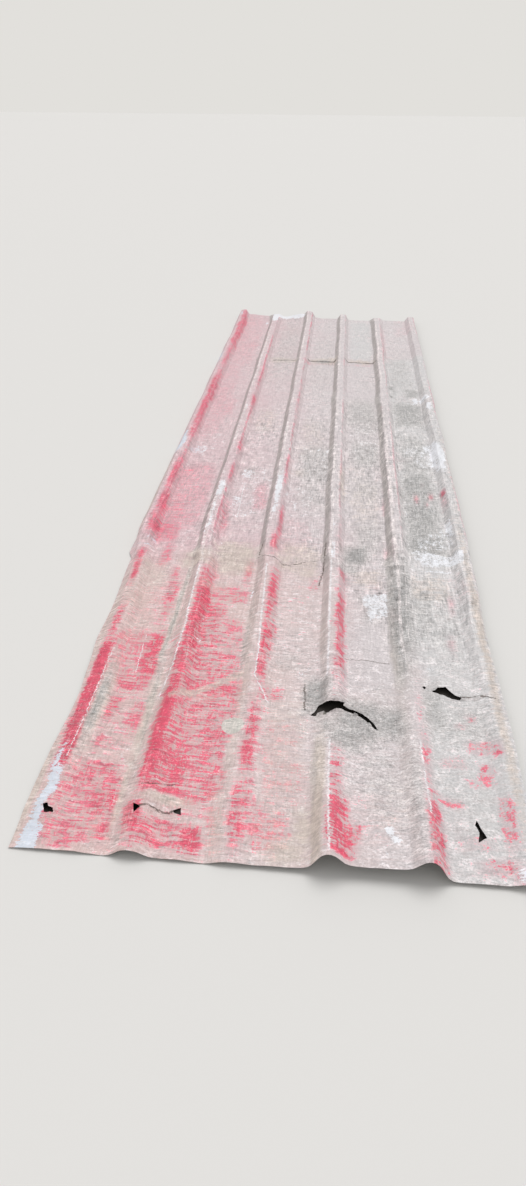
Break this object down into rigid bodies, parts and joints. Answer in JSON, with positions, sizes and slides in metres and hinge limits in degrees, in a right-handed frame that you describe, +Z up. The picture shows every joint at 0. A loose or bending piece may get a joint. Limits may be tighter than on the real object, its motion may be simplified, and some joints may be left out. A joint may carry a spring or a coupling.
{
  "type": "trapezoidal corrugated metal sheet",
  "caption": "Long painted steel roofing sheet, roll-formed with trapezoidal ribs, worn and scratched, with trampled ribs, creases and small tears at one end.",
  "frame": {"origin": "centre of the floor area under the sheet, at floor level", "axes": "+X across the ribs from the full edge rib to the open edge rib, +Y along the ribs from the torn end to the far end, +Z up"},
  "size_m": [1.0548, 4, 0.0555],
  "materials": {
    "painted_steel": "faded red paint, chalky, scratched and dusty"
  },
  "bodies": {
    "root": {"profiled_sheet": "painted_steel"}
  },
  "joints": []
}
